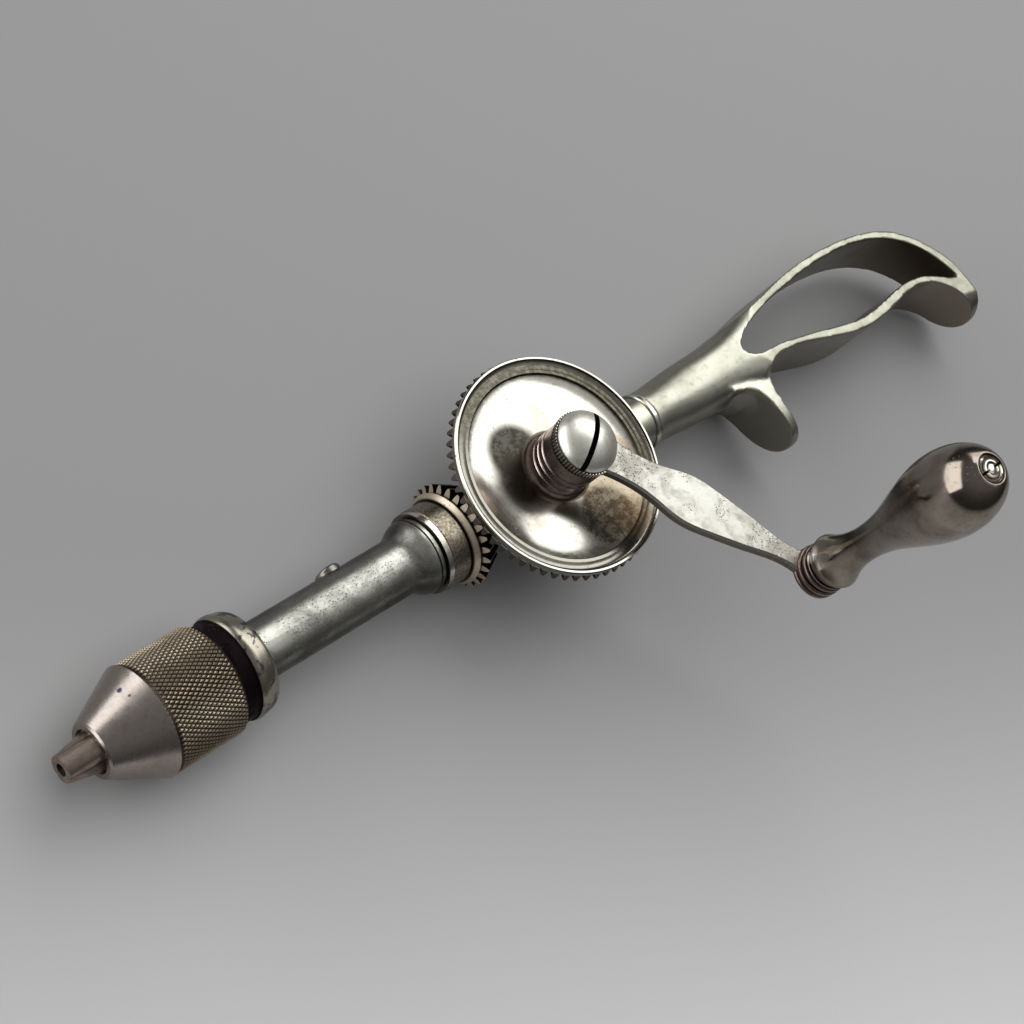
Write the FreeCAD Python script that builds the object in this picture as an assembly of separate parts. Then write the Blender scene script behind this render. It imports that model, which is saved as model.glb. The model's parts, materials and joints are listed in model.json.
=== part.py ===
import FreeCAD, Part
import math
import os

# Orthopedic hand drill lying on its back, crank side up.
# The sizes below are measured from the point where the spindle axis and the
# gear axle cross: x runs forward along the spindle, z runs up the gear axle.
# The finished part is moved so that its origin is the mouth of the bit socket.

# Bevel gears, straight teeth, shaft angle 90 degrees
gear_module = 1.0
gear_teeth = 61
pinion_teeth = 27
pressure_angle = 20.0
tooth_face = 6.5
tooth_addendum = 1.0
tooth_dedendum = 1.15
tooth_backlash = 0.16
tooth_rooting = 0.35
tooth_land = 0.3

# Drive gear dish
dish_lip_height = 1.7
dish_lip_width = 0.8
dish_cove_depth = 1.3
dish_floor_radius = 25.6
dish_floor_drop = 2.3
dish_web = 2.3

# Gear hub, crank arm and their screw
hub_radius = 8.7
hub_foot_radius = 9.5
hub_groove_depth = 0.35
hub_groove_count = 3
hub_groove_pitch = 2.3
hub_spigot_radius = 6.5
arm_underside = 27.0
arm_thickness = 2.9
arm_bevel = 0.6
arm_eye_radius = 8.6
arm_neck_half_width = 4.6
arm_wide_half_width = 7.2
arm_wide_at = 30.0
arm_slim_half_width = 2.8
arm_slim_at = 63.0
crank_offset_x = -40.6
crank_offset_y = 60.2
arm_tip_radius = 5.8
dome_radius = 8.5
dome_height = 4.9
dome_edge = 0.5
dome_slot_width = 1.2
dome_slot_depth = 1.9
dome_slot_angle = 40.0
dome_shank_radius = 2.0
dome_shank_length = 11.0

# Gear axle and its bearing
axle_radius = 3.5
axle_bush_wall = 1.4
axle_boss_radius = 8.6
axle_boss_half_height = 9.0
axle_washer_thickness = 1.2
rear_washer_thickness = 0.8
rear_washer_radius = 6.8
rear_screw_radius = 6.0
rear_screw_head = 2.4
rear_screw_shank_radius = 2.0
rear_screw_shank_length = 7.0

# Bearing frame
frame_radius = 7.8
frame_front = 23.4
frame_rear = -41.9
tang_radius = 4.0
tang_length = 21.0
tang_pin_radius = 1.2
tang_pin_at = -32.0
neck_ring_radius = 8.3
neck_ring_width = 1.7

# Spindle, its bush and thrust ball
spindle_radius = 4.0
spindle_bush_wall = 1.9
spindle_bush_length = 12.1
thrust_ball_radius = 2.4
thrust_wall = 1.3
pinion_washer_thickness = 0.9
pinion_washer_radius = 7.0
pinion_hub_radius = 11.25
pinion_hub_end = 39.4
pinion_back = 32.0
pinion_back_radius = 12.8
pinion_web_end = 33.3
pinion_web_radius = 11.7
pinion_groove_radius = 10.8
pinion_groove_width = 0.5
key_width = 2.0
key_depth = 1.0
key_length = 8.0

# Grip tube that turns freely on the spindle
grip_washer_thickness = 1.5
grip_washer_radius = 11.05
grip_radius = 7.55
grip_lip_radius = 10.1
grip_flare_length = 8.6
grip_front = 96.5
grip_bore_radius = 6.2
grip_bush_length = 8.0
grip_screw_at = 65.5
grip_screw_angle = -12.0
grip_screw_head_radius = 3.6
grip_screw_head = 1.1
grip_screw_shank_radius = 1.1

# Chuck
chuck_rear = 97.8
collar_radius = 13.65
collar_rear_radius = 12.6
collar_length = 6.0
collar_bore_radius = 10.0
collar_seat_length = 4.6
land_overlap = 0.9
sleeve_rear = 108.3
sleeve_front = 128.1
sleeve_radius = 14.4
sleeve_rear_radius = 14.1
sleeve_bore_radius = 12.9
sleeve_bearing_length = 2.6
chuck_core_radius = 11.0
nose_front = 142.5
nose_radius = 7.3
nose_chamfer = 0.9
nose_bore_radius = 3.4
spindle_nose_end = 112.0
nut_rear = 119.0
nut_length = 5.9
nut_split = 0.3
nut_groove_radius = 8.7

# Jaws
jaw_tip = 150.6
jaw_angle = 12.0
jaw_radius = 3.2
jaw_tip_radius = 3.5
jaw_length = 33.0
jaw_travel = 8.5
jaw_wedge_gap = 0.08
bit_radius = 1.6

# Crank knob, turning on its spindle
knob_spindle_radius = 2.6
knob_foot = 31.2
knob_foot_radius = 6.7
knob_foot_bead_radius = 7.4
knob_waist_radius = 4.25
knob_waist_at = 50.3
knob_belly_radius = 11.2
knob_belly_at = 82.8
knob_end = 99.0
knob_end_radius = 5.6
knob_counterbore_depth = 1.6
knob_screw_radius = 3.5
knob_screw_head = 1.9
knob_screw_shank_radius = 1.3
knob_screw_shank_length = 8.0
knob_screw_slot = 0.7
knob_washer_radius = 6.5

# Handle casting: u runs back from the crossing, v towards the palm side
stem_radius = 8.1
stem_mid_radius = 8.9
stem_mid_at = 64.0
fork_at = 81.2
loop_half_width = 12.0
loop_tail_half_width = 8.8
section_points = 16
hook_half_width = 9.3
hook_thickness = 3.0
hook_tip = 28.7
tail_tip = 26.5

# Clearances
running_clearance = 0.05
axial_clearance = 0.1
jaw_clearance = 0.06
nut_clearance = 0.15

X = FreeCAD.Vector(1, 0, 0)
Y = FreeCAD.Vector(0, 1, 0)
Z = FreeCAD.Vector(0, 0, 1)
CROSSING = FreeCAD.Vector(0, 0, 0)
TO_SOCKET_MOUTH = FreeCAD.Vector(-jaw_tip, 0, 0)

# Places that follow from the sizes above
pinion_pitch_radius = gear_module * pinion_teeth / 2
gear_pitch_radius = gear_module * gear_teeth / 2
pinion_cone = math.atan2(pinion_teeth, gear_teeth)
gear_cone = math.pi / 2 - pinion_cone
cone_distance = math.hypot(pinion_pitch_radius, gear_pitch_radius)
toe_scale = (cone_distance - tooth_face) / cone_distance
toe_land_scale = toe_scale - tooth_land / cone_distance
heel_land_scale = 1 + tooth_land / cone_distance
gear_heel_root = (gear_pitch_radius - tooth_dedendum * math.cos(gear_cone),
                  pinion_pitch_radius + tooth_dedendum * math.sin(gear_cone))
pinion_heel_root = (gear_pitch_radius + tooth_dedendum * math.sin(pinion_cone),
                    pinion_pitch_radius - tooth_dedendum * math.cos(pinion_cone))
dish_radius = gear_heel_root[0] * heel_land_scale
dish_rim = gear_heel_root[1] + dish_lip_height
dish_underside = gear_heel_root[1] * toe_land_scale
dish_floor = dish_rim - dish_floor_drop
axle_washer_top = axle_boss_half_height + axle_washer_thickness
hub_bottom = axle_washer_top + axial_clearance
arm_top = arm_underside + arm_thickness
crank_radius = math.hypot(crank_offset_x, crank_offset_y)
crank_angle = math.degrees(math.atan2(crank_offset_y, crank_offset_x))
rear_washer_top = -axle_boss_half_height - axial_clearance
rear_screw_top = rear_washer_top - rear_washer_thickness
axle_bush_radius = axle_radius + axle_bush_wall
spindle_bush_radius = spindle_radius + spindle_bush_wall
thrust_pocket = axle_bush_radius + thrust_wall
spindle_rear = thrust_pocket + 2 * thrust_ball_radius
pinion_front = frame_front + pinion_washer_thickness + axial_clearance
grip_washer_rear = pinion_hub_end
grip_rear = grip_washer_rear + grip_washer_thickness + axial_clearance
chuck_washer_rear = grip_front + axial_clearance
jaw_slope = math.tan(math.radians(jaw_angle))
jaw_tip_offset = jaw_tip_radius - jaw_radius / math.cos(math.radians(jaw_angle))
nut_front = nut_rear + nut_length
collar_front = chuck_rear + collar_length
collar_seat_end = collar_front + collar_seat_length
land_end = sleeve_rear + land_overlap
neck_ring_front = frame_rear
handle_front = neck_ring_front - neck_ring_width
washer_top = knob_foot - axial_clearance


def straight(*points):
    return "straight", points


def smooth(*points):
    return "smooth", points


# Closed flat face from straight and smooth runs of points, closed by a straight edge.
def flat_face(place, *runs):
    edges = []
    last = None
    first = place(*runs[0][1][0])
    for kind, run in runs:
        points = [place(*point) for point in run]
        if last is not None and last.distanceToPoint(points[0]) > 1e-6:
            edges.append(Part.makeLine(last, points[0]))
        if kind == "smooth":
            curve = Part.BSplineCurve()
            curve.interpolate(points)
            edges.append(curve.toShape())
        else:
            edges += [Part.makeLine(a, b) for a, b in zip(points, points[1:])]
        last = points[-1]
    if last.distanceToPoint(first) > 1e-6:
        edges.append(Part.makeLine(last, first))
    return Part.Face(Part.Wire(edges))


# Turned piece: the profile's points are (place along the axis, radius).
def turned_on_spindle(*runs):
    face = flat_face(lambda along, radius: FreeCAD.Vector(along, 0, radius), *runs)
    return face.revolve(CROSSING, X, 360)


def turned_on_axle(*runs):
    face = flat_face(lambda along, radius: FreeCAD.Vector(radius, 0, along), *runs)
    return face.revolve(CROSSING, Z, 360)


def turned_on_knob(*runs):
    piece = turned_on_axle(*runs)
    piece.translate(FreeCAD.Vector(crank_offset_x, crank_offset_y, 0))
    return piece


def spindle_disc(rear, front, radius):
    return Part.makeCylinder(radius, front - rear, X * rear, X)


def axle_disc(bottom, top, radius):
    return Part.makeCylinder(radius, top - bottom, Z * bottom, Z)


def spindle_ring(rear, front, radius, bore):
    return spindle_disc(rear, front, radius).cut(spindle_disc(rear - 1, front + 1, bore))


def axle_ring(bottom, top, radius, bore):
    return axle_disc(bottom, top, radius).cut(axle_disc(bottom - 1, top + 1, bore))


def on_knob_axis(shape):
    shape.translate(FreeCAD.Vector(crank_offset_x, crank_offset_y, 0))
    return shape


def fused(first, *others):
    return first.fuse(list(others)).removeSplitter()


# Half thickness of an involute tooth at a radius of the back cone's flat gear.
def half_tooth_angle(radius, back_radius, teeth_on_back):
    pressure = math.radians(pressure_angle)
    base_radius = back_radius * math.cos(pressure)
    at_radius = math.acos(min(1.0, base_radius / radius))
    involute_pitch = math.tan(pressure) - pressure
    involute_here = math.tan(at_radius) - at_radius
    half_pitch_tooth = math.pi / (2 * teeth_on_back) - tooth_backlash / 4 / back_radius
    return half_pitch_tooth + involute_pitch - involute_here


# One bevel tooth on the pitch cone of an axis along Z with its apex at the crossing.
def bevel_tooth(pitch_radius, apex_height, cone, teeth):
    back_radius = pitch_radius / math.cos(cone)
    teeth_on_back = teeth / math.cos(cone)
    base_radius = back_radius * math.cos(math.radians(pressure_angle))
    pitch_point = FreeCAD.Vector(pitch_radius, 0, apex_height)
    outward = FreeCAD.Vector(math.cos(cone), 0, -math.sin(cone))

    def flank_point(radius, side):
        angle = half_tooth_angle(radius, back_radius, teeth_on_back) * side
        height = radius * math.cos(angle) - back_radius
        return pitch_point + outward * height + Y * (radius * math.sin(angle))

    root = back_radius - tooth_dedendum - tooth_rooting
    foot = max(base_radius, back_radius - tooth_dedendum)
    middle = back_radius
    tip = back_radius + tooth_addendum
    left = [flank_point(radius, 1) for radius in (foot, middle, tip)]
    right = [flank_point(radius, -1) for radius in (tip, middle, foot)]
    sunk_left = left[0] + outward * (root - foot)
    sunk_right = right[2] + outward * (root - foot)
    heel = Part.Wire([
        Part.makeLine(sunk_left, left[0]),
        Part.Arc(*left).toShape(),
        Part.makeLine(left[2], right[0]),
        Part.Arc(*right).toShape(),
        Part.makeLine(right[2], sunk_right),
        Part.makeLine(sunk_right, sunk_left)])
    toe = heel.copy()
    toe.scale(toe_scale, CROSSING)
    return Part.makeLoft([heel, toe], True, True)


def ring_of_teeth(tooth, teeth, first_angle):
    copies = []
    for index in range(teeth):
        copy = tooth.copy()
        copy.rotate(CROSSING, Z, first_angle + index * 360 / teeth)
        copies.append(copy)
    return copies


# Drive gear: a dished wheel with a raised lip and a cove inside it, teeth underneath.
def drive_gear():
    lip_inside = dish_radius - dish_lip_width
    cove = dish_rim - dish_cove_depth
    ledge = dish_floor_radius + 1.2
    blank = turned_on_axle(
        straight((dish_underside, hub_spigot_radius),
                 (dish_underside, gear_heel_root[0] * toe_land_scale),
                 (gear_heel_root[1] * heel_land_scale, dish_radius),
                 (dish_rim - 0.3, dish_radius),
                 (dish_rim, dish_radius - 0.3),
                 (dish_rim, lip_inside)),
        smooth((dish_rim, lip_inside), (cove + 0.25, lip_inside - 0.55),
               (cove, lip_inside - 1.3), (cove + 0.2, ledge)),
        straight((cove + 0.2, ledge), (cove + 0.2, dish_floor_radius + 0.4),
                 (dish_floor + 0.6, dish_floor_radius)),
        smooth((dish_floor + 0.6, dish_floor_radius), (dish_floor + 0.1, dish_floor_radius - 2.5),
               (dish_floor - 0.1, 18.0), (dish_floor, hub_foot_radius)),
        straight((dish_floor, hub_foot_radius), (dish_floor, hub_spigot_radius)))
    tooth = bevel_tooth(gear_pitch_radius, pinion_pitch_radius, gear_cone, gear_teeth)
    teeth = ring_of_teeth(tooth, gear_teeth, 180 / gear_teeth)
    return fused(blank, *teeth)


# Pinion: teeth face back to the gear, hub runs forward to the grip tube.
def pinion_gear():
    tooth = bevel_tooth(pinion_pitch_radius, gear_pitch_radius, pinion_cone, pinion_teeth)
    teeth = ring_of_teeth(tooth, pinion_teeth, 0)
    toe_root = [value * toe_land_scale for value in pinion_heel_root]
    heel_root = [value * heel_land_scale for value in pinion_heel_root]
    blank = turned_on_axle(
        straight((pinion_front, spindle_radius), (pinion_front, toe_root[1] - 0.6),
                 (toe_root[0], toe_root[1]), (heel_root[0], heel_root[1]),
                 (pinion_back, pinion_back_radius), (pinion_web_end, pinion_web_radius),
                 (pinion_web_end, pinion_groove_radius),
                 (pinion_web_end + pinion_groove_width, pinion_groove_radius),
                 (pinion_web_end + pinion_groove_width, pinion_hub_radius),
                 (pinion_hub_end - 0.3, pinion_hub_radius),
                 (pinion_hub_end, pinion_hub_radius - 0.3), (pinion_hub_end, spindle_radius)))
    wheel = fused(blank, *teeth)
    wheel.rotate(CROSSING, Y, 90)
    wheel.rotate(CROSSING, X, 180)
    return wheel.cut(pinion_key())


def pinion_key():
    bottom = spindle_radius - key_depth
    corner = FreeCAD.Vector(pinion_front + 4, -key_width / 2, bottom)
    return Part.makeBox(key_length, key_width, 2 * key_depth, corner)


def gear_hub():
    post = [(hub_bottom, axle_radius), (hub_bottom, hub_spigot_radius),
            (dish_floor, hub_spigot_radius), (dish_floor, hub_foot_radius),
            (dish_floor + 0.8, hub_foot_radius - 0.2), (dish_floor + 1.2, hub_radius)]
    groove = dish_floor + 3.4
    for index in range(hub_groove_count):
        start = groove + index * hub_groove_pitch
        post += [(start, hub_radius), (start + 0.4, hub_radius - hub_groove_depth),
                 (start + 0.8, hub_radius)]
    post += [(arm_underside, hub_radius), (arm_underside, axle_radius)]
    return turned_on_axle(straight(*post))


# Crank arm: round eye on the hub, a broad waist, a slim neck and a small eye for the knob.
def crank_arm():
    upper = [(arm_eye_radius * 0.8, arm_eye_radius * 0.6),
             (arm_eye_radius + 3.4, arm_neck_half_width),
             (0.7 * arm_wide_at, arm_neck_half_width + 0.6),
             (arm_wide_at, arm_wide_half_width),
             (arm_wide_at + 11, arm_wide_half_width - 0.9),
             (arm_wide_at + 21, arm_wide_half_width - 2.6),
             (arm_slim_at, arm_slim_half_width),
             (crank_radius - arm_tip_radius * 0.8, arm_tip_radius * 0.6)]
    lower = [(along, -across) for along, across in reversed(upper)]
    face = flat_face(lambda along, across: FreeCAD.Vector(along, across, arm_underside),
                     smooth(*upper), smooth(*lower))
    arm = fused(face.extrude(Z * arm_thickness),
                axle_disc(arm_underside, arm_top, arm_eye_radius),
                Part.makeCylinder(arm_tip_radius, arm_thickness,
                                  FreeCAD.Vector(crank_radius, 0, arm_underside), Z))
    flat_edges = [edge for edge in arm.Edges
                  if abs(edge.BoundBox.ZLength) < 1e-6 and edge.Length > 2.0]
    arm = arm.makeChamfer(arm_bevel, flat_edges)
    arm = arm.cut(axle_disc(arm_underside - 1, arm_top + 1, axle_radius))
    arm.rotate(CROSSING, Z, crank_angle)
    rivet_hole = on_knob_axis(axle_disc(arm_underside - 1, arm_top + 1, knob_spindle_radius))
    return arm.cut(rivet_hole)


def gear_axle():
    axle = axle_disc(rear_screw_top, arm_top, axle_radius)
    screw_hole = axle_disc(arm_top - dome_shank_length, arm_top + 1, dome_shank_radius)
    rear_hole = axle_disc(rear_screw_top - 1, rear_screw_top + rear_screw_shank_length,
                          rear_screw_shank_radius)
    return axle.cut([screw_hole, rear_hole])


# Dome-headed screw over the arm's eye, with one straight slot.
def crank_screw():
    edge = arm_top + dome_edge
    head = turned_on_axle(
        straight((arm_top, 0), (arm_top, dome_radius), (edge, dome_radius)),
        smooth((edge, dome_radius), (arm_top + 0.42 * dome_height, dome_radius * 0.87),
               (arm_top + 0.78 * dome_height, dome_radius * 0.55),
               (arm_top + 0.95 * dome_height, dome_radius * 0.25),
               (arm_top + dome_height, 0)))
    shank = axle_disc(arm_top - dome_shank_length + axial_clearance, arm_top + 0.1, dome_shank_radius)
    slot = Part.makeBox(2.4 * dome_radius, dome_slot_width, dome_height,
                        FreeCAD.Vector(-1.2 * dome_radius, -dome_slot_width / 2,
                                       arm_top + dome_height - dome_slot_depth))
    slot.rotate(CROSSING, Z, dome_slot_angle)
    return fused(head, shank).cut(slot)


def rear_screw():
    bottom = rear_screw_top - rear_screw_head
    head = axle_disc(bottom, rear_screw_top, rear_screw_radius)
    shank = axle_disc(rear_screw_top - 0.1, rear_screw_top + rear_screw_shank_length - axial_clearance,
                      rear_screw_shank_radius)
    slot = Part.makeBox(3 * rear_screw_radius, dome_slot_width, 1.0,
                        FreeCAD.Vector(-1.5 * rear_screw_radius, -dome_slot_width / 2, bottom))
    return fused(head, shank).cut(slot)


# Bearing frame: a round bar behind the dish with a boss across it for the gear axle.
def bearing_frame():
    bar = turned_on_spindle(straight(
        (frame_rear, 0), (frame_rear, frame_radius), (frame_front - 1.0, frame_radius),
        (frame_front, frame_radius - 1.0), (frame_front, 0)))
    boss = axle_disc(-axle_boss_half_height, axle_boss_half_height, axle_boss_radius)
    frame = fused(bar, boss)
    bush_seat = spindle_disc(frame_front - spindle_bush_length, frame_front + 1, spindle_bush_radius)
    ball_pocket = spindle_disc(thrust_pocket, frame_front, thrust_ball_radius + running_clearance)
    shaft_room = spindle_disc(spindle_rear, frame_front, spindle_radius + running_clearance)
    axle_seat = axle_disc(-axle_boss_half_height - 1, axle_boss_half_height + 1, axle_bush_radius)
    tang_hole = spindle_disc(frame_rear - 1, frame_rear + tang_length + axial_clearance, tang_radius)
    return frame.cut([bush_seat, ball_pocket, shaft_room, axle_seat, tang_hole, tang_pin()])


def tang_pin():
    length = 2 * math.sqrt(frame_radius ** 2 - tang_pin_radius ** 2)
    return Part.makeCylinder(tang_pin_radius, length,
                             FreeCAD.Vector(tang_pin_at, -length / 2, 0), Y)


# Side view of the handle: u back from the crossing, v towards the palm side.
def side_place(u, v):
    return FreeCAD.Vector(-u, -v, 0)


def side_solid(half_width, *runs):
    face = flat_face(side_place, *runs)
    face.translate(Z * -half_width)
    return face.extrude(Z * (2 * half_width))


# End view of a tongue: across its width and down to its tip.
def end_solid(rear, front, *runs):
    face = flat_face(lambda across, v: FreeCAD.Vector(-rear, -v, across), *runs)
    return face.extrude(X * (rear - front))


# Cross section of the casting: round where the power is 2, squarer above it.
def section(u, across, high, power):
    points = []
    for step in range(section_points):
        angle = 2 * math.pi * step / section_points
        cosine = math.cos(angle)
        sine = math.sin(angle)
        z = across * math.copysign(abs(cosine) ** (2 / power), cosine)
        y = high * math.copysign(abs(sine) ** (2 / power), sine)
        points.append(FreeCAD.Vector(-u, y, z))
    curve = Part.BSplineCurve()
    curve.interpolate(Points=points, PeriodicFlag=True)
    return Part.Wire(curve.toShape())


# Outside of the stem, which opens into the room that the loop takes up.
def stem_envelope():
    sections = [section(-handle_front, stem_radius, stem_radius, 2),
                section(stem_mid_at - 8, stem_mid_radius - 0.4, stem_mid_radius - 0.4, 2),
                section(stem_mid_at + 4, stem_mid_radius + 0.5, stem_mid_radius + 0.2, 2.2),
                section(fork_at - 1.5, loop_half_width - 0.9, stem_mid_radius + 1.0, 2.7),
                section(fork_at + 10, loop_half_width + 1.0, 14.0, 4),
                section(fork_at + 24, loop_half_width + 3.0, 26.0, 6)]
    stem = Part.makeLoft(sections, True, False)
    room = Part.makeBox(120, 100, 4 * loop_half_width,
                        FreeCAD.Vector(-fork_at - 143.9, -50, -2 * loop_half_width))
    return fused(stem, room)


# Finger loop: an upper strap that arches to the tail and a lower strap that meets it there.
def loop_outline():
    return side_solid(
        loop_half_width + 2,
        straight((30.0, -20.0), (30.0, 20.0)),
        smooth((64.0, 12.0), (76.0, 9.9), (90.0, 10.6), (110.0, 14.0), (130.0, 15.2),
               (148.0, 13.7), (161.0, 9.8), (171.5, 1.8), (178.0, -8.0), (179.9, -15.0),
               (179.0, -tail_tip)),
        straight((179.0, -tail_tip), (176.4, -tail_tip)),
        smooth((176.4, -tail_tip), (174.3, -20.5), (171.4, -15.8), (166.5, -11.6), (157.5, -9.0),
               (146.0, -10.2), (131.0, -11.8), (119.0, -10.4), (106.0, -6.9), (95.0, -5.0),
               (88.5, -5.6), (83.0, -9.0), (76.0, -9.6), (64.0, -12.0)),
        straight((64.0, -12.0), (30.0, -20.0)))


def loop_gap():
    return side_solid(
        loop_half_width + 4,
        smooth((fork_at, 1.0), (fork_at + 0.7, 3.4), (fork_at + 3.4, 5.5), (91.5, 8.0), (108.5, 11.1),
               (128.0, 12.8), (146.0, 11.7), (158.6, 7.9), (168.0, 1.4), (174.6, -8.2), (176.6, -13.2)),
        smooth((176.6, -13.2), (172.6, -11.9), (166.0, -8.6), (157.0, -6.5), (142.0, -7.6),
               (129.0, -8.6), (113.5, -6.1), (99.0, -3.3), (90.0, -2.3), (fork_at + 2.6, -1.5),
               (fork_at, 1.0)))


def loop_plan():
    front = [(30.0, loop_half_width), (fork_at + 8, loop_half_width), (115.0, loop_half_width - 0.5),
             (145.0, loop_half_width - 1.6), (181.0, loop_tail_half_width)]
    back = [(u, -across) for u, across in reversed(front)]
    face = flat_face(lambda u, across: FreeCAD.Vector(-u, -40, across), smooth(*front), smooth(*back))
    return face.extrude(Y * 80)


def tail_end():
    radius = loop_tail_half_width + 0.4
    centre = tail_tip - radius
    return fused(
        Part.makeBox(200, 60, 40, FreeCAD.Vector(-200, centre - 60, -20)),
        Part.makeCylinder(radius, 200, FreeCAD.Vector(-200, centre, 0), X))


# Finger hook: a tongue with a round end that leaves the stem in a wide curve and leans back.
def finger_hook():
    front = [(71.0, -7.6), (75.0, -8.6), (77.9, -10.4), (79.6, -13.4), (80.7, -17.0),
             (81.7, -21.0), (82.6, -24.6), (83.5, -hook_tip)]
    back = [(front[-1][0] + hook_thickness, -hook_tip), (85.7, -24.6), (84.9, -20.6), (84.4, -16.4),
            (84.8, -12.6), (86.6, -9.0), (90.0, -6.2)]
    tongue = side_solid(
        hook_half_width + 1,
        straight((71.0, -4.0), front[0]), smooth(*front), straight(front[-1], back[0]),
        smooth(*back), straight(back[-1], (90.0, -4.0)))
    edge = [(8.2, 3.0), (8.9, 8.0), (hook_half_width, 12.5), (hook_half_width - 0.2, 18.0),
            (hook_half_width - 1.1, 22.6), (hook_half_width - 3.3, 26.3)]
    left = [(across, -v) for across, v in edge]
    right = [(-across, -v) for across, v in reversed(edge)]
    end_view = end_solid(95, 65, smooth(*left, (0, -hook_tip), *right))
    return tongue.common(end_view)


def handle_casting():
    body = stem_envelope().common(loop_outline()).common(loop_plan()).common(tail_end()).cut(loop_gap())
    tang = spindle_disc(handle_front - 1, frame_rear + tang_length, tang_radius)
    return fused(body, finger_hook(), tang).cut(tang_pin())


def neck_ring():
    rear = neck_ring_front - neck_ring_width
    return turned_on_spindle(straight(
        (rear, tang_radius), (rear, neck_ring_radius - 0.3), (rear + 0.3, neck_ring_radius),
        (neck_ring_front - 0.3, neck_ring_radius), (neck_ring_front, neck_ring_radius - 0.3),
        (neck_ring_front, tang_radius)))


def spindle_shaft():
    shaft = spindle_disc(spindle_rear + running_clearance, spindle_nose_end, spindle_radius)
    return shaft.cut(pinion_key())


# Grip tube: plain tube that flares to a lip against the pinion hub.
def grip_tube():
    flare_end = grip_rear + grip_flare_length
    lip = grip_rear + 1.6
    tube = turned_on_spindle(
        straight((grip_rear, grip_bore_radius), (grip_rear, grip_lip_radius - 0.4),
                 (grip_rear + 0.4, grip_lip_radius), (lip, grip_lip_radius)),
        smooth((lip, grip_lip_radius), (lip + 2.4, grip_lip_radius - 0.75),
               (flare_end - 2.2, grip_radius + 0.45), (flare_end, grip_radius)),
        straight((flare_end, grip_radius), (grip_front - 0.4, grip_radius - 0.1),
                 (grip_front, grip_radius - 0.5), (grip_front, grip_bore_radius)))
    return tube.cut(screw_shank_room())


def grip_screw_direction():
    angle = math.radians(grip_screw_angle)
    return FreeCAD.Vector(0, -math.cos(angle), math.sin(angle))


def screw_shank_room():
    out = grip_screw_direction()
    return Part.makeCylinder(grip_screw_shank_radius, grip_radius + 1, X * grip_screw_at, out)


def grip_screw():
    out = grip_screw_direction()
    seat = X * grip_screw_at
    top = grip_radius + grip_screw_head
    rim = math.sqrt(grip_radius ** 2 - grip_screw_head_radius ** 2)
    head = Part.makeCylinder(grip_screw_head_radius, top - rim, seat + out * rim, out)
    rounded = [edge for edge in head.Edges if (edge.CenterOfMass - seat).dot(out) > top - 0.1]
    head = head.makeFillet(0.8, rounded)
    tube_room = spindle_disc(grip_rear, grip_front, grip_radius)
    shank = Part.makeCylinder(grip_screw_shank_radius, grip_radius - grip_bore_radius + 0.5,
                              seat + out * (grip_bore_radius + 0.1), out)
    return fused(head.cut(tube_room), shank)


def grip_bush(rear):
    return spindle_ring(rear, rear + grip_bush_length, grip_bore_radius,
                        spindle_radius + running_clearance)


def jaw_hole_axis_start():
    return FreeCAD.Vector(jaw_tip, 0, jaw_tip_offset)


# Unit vector from a jaw's tip back along the jaw.
def jaw_back():
    angle = math.radians(jaw_angle)
    return FreeCAD.Vector(-math.cos(angle), 0, math.sin(angle))


def jaw_rod(radius, start, length):
    back = jaw_back()
    return Part.makeCylinder(radius, length, jaw_hole_axis_start() + back * start, back)


# Jaws stand 120 degrees apart round the spindle, the first one at the top.
def jaw(index):
    rod = jaw_rod(jaw_radius, -3, jaw_length + 3)
    keep = Part.makeBox(60, 30, 30, FreeCAD.Vector(jaw_tip - 60, -15, 0))
    wedge = 60
    for side in (1, -1):
        slab = Part.makeBox(80, 40, 40, FreeCAD.Vector(jaw_tip - 60, 0, -20))
        slab.translate(Y * -jaw_wedge_gap)
        slab.rotate(CROSSING, X, -wedge)
        if side < 0:
            slab = slab.mirror(CROSSING, Y)
        keep = keep.cut(slab)
    rod = rod.common(keep)
    rod = rod.cut(spindle_disc(jaw_tip - 60, jaw_tip + 5, bit_radius))
    rod.rotate(CROSSING, X, index * 120)
    return rod


# Radius that a jaw's outer side reaches at a place along the spindle.
def jaw_reach(along):
    return jaw_tip_radius + (jaw_tip - along) * jaw_slope


# Chuck body: nose cone in front, core with three inclined jaw holes, threaded seat behind.
def chuck_body():
    land = sleeve_bore_radius - running_clearance
    land_rear = sleeve_front - sleeve_bearing_length
    nose_back = sleeve_front + axial_clearance
    blank = turned_on_spindle(straight(
        (chuck_rear, 0), (chuck_rear, collar_bore_radius), (collar_seat_end, collar_bore_radius),
        (collar_seat_end, chuck_core_radius), (nut_rear - axial_clearance, chuck_core_radius),
        (nut_rear - axial_clearance, nut_groove_radius), (nut_front + axial_clearance, nut_groove_radius),
        (nut_front + axial_clearance, land), (nose_back, land), (nose_back, sleeve_radius - 0.3),
        (nose_back + 0.4, sleeve_radius), (nose_front - 0.5, nose_radius + 0.1),
        (nose_front, nose_radius - 0.4), (nose_front, 0)))
    chamfer = turned_on_spindle(straight(
        (nose_front - nose_chamfer, 0), (nose_front - nose_chamfer, jaw_reach(nose_front)),
        (nose_front, jaw_reach(nose_front) + 0.5), (nose_front + 1, jaw_reach(nose_front) + 0.5),
        (nose_front + 1, 0)))
    seat = spindle_disc(chuck_rear - 1, spindle_nose_end + axial_clearance, spindle_radius)
    bore = spindle_disc(spindle_nose_end, nose_front + 1, nose_bore_radius)
    holes = []
    for index in range(3):
        hole = jaw_rod(jaw_radius + jaw_clearance, 0, jaw_length + jaw_travel + 0.4)
        hole.rotate(CROSSING, X, index * 120)
        holes.append(hole)
    return blank.cut([chamfer, seat, bore] + holes)


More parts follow.
